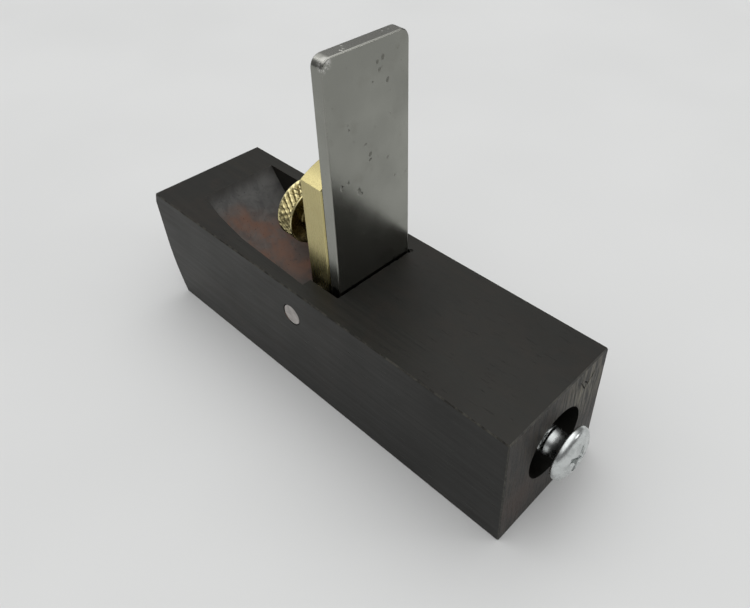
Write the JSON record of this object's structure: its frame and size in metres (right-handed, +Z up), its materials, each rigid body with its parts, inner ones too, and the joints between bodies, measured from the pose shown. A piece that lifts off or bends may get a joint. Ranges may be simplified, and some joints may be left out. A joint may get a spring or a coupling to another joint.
{
  "type": "hand plane",
  "caption": "Small hardwood scraper plane with a near-vertical iron, a brass lever cap tightened by a knurled thumb screw, and a pan head screw set in the heel.",
  "frame": {"origin": "on the sole's centreline, 10 mm ahead of the foot of the bed that backs the iron", "axes": "+X from the toe to the heel, +Z up from the sole, +Y across the stock"},
  "size_m": [0.0946, 0.025, 0.0661],
  "materials": {
    "dark_hardwood": "near-black close-grained hardwood, rubbed satin",
    "ground_steel": "surface-ground tool steel with a few dark pits and scratches",
    "brass": "pale machined brass, lightly linished",
    "pin_steel": "pin end filed flush with the wood",
    "knurled_brass": "turned brass with a diamond knurl",
    "pad_steel": "turned steel",
    "zinc_plate": "bright zinc plate",
    "insert_brass": "turned brass",
    "plug_brass": "turned brass"
  },
  "bodies": {
    "stock": {"stock": "dark_hardwood", "cross_pin": "pin_steel", "heel_insert": "insert_brass"},
    "iron": {"iron": "ground_steel"},
    "lever_cap": {"lever_cap": "brass"},
    "thumb_screw_pad": {"thumb_screw_pad": "pad_steel"},
    "thumb_screw": {"thumb_screw": "knurled_brass"},
    "heel_plug": {"heel_plug": "plug_brass"},
    "heel_screw": {"heel_screw": "zinc_plate"}
  },
  "joints": [
    {"name": "iron_slide", "type": "slide", "parent": "stock", "child": "iron", "axis": [0.0349, 0, 0.9994], "range_m": [-0.0009, 0.01]},
    {"name": "cap_rock", "type": "hinge", "parent": "stock", "child": "lever_cap", "pos_m": [0.00239, 0, 0.01858], "axis": [0, 1, 0], "range_deg": [-1, 0.4]},
    {"name": "thumb_advance", "type": "slide", "parent": "lever_cap", "child": "thumb_screw_pad", "axis": [-0.9994, 0, 0.0349], "range_m": [-0.00016, 0.004]},
    {"name": "thumb_turn", "type": "hinge", "parent": "thumb_screw_pad", "child": "thumb_screw", "pos_m": [0.00565, 0, 0.03027], "axis": [-0.9994, 0, 0.0349], "range_deg": [-72.5, 1800.5]},
    {"name": "heel_advance", "type": "slide", "parent": "stock", "child": "heel_plug", "axis": [1, 0, 0], "range_m": [-0.0036, 0.008]},
    {"name": "heel_turn", "type": "hinge", "parent": "heel_plug", "child": "heel_screw", "pos_m": [0.0501, 0.00035, 0.0129], "axis": [1, 0, 0], "range_deg": [-1620.5, 3600.5]}
  ],
  "couplings": [
    {"joint": "thumb_turn", "follows": "thumb_advance", "rad_per_m": 7854},
    {"joint": "heel_turn", "follows": "heel_advance", "rad_per_m": 7854}
  ]
}
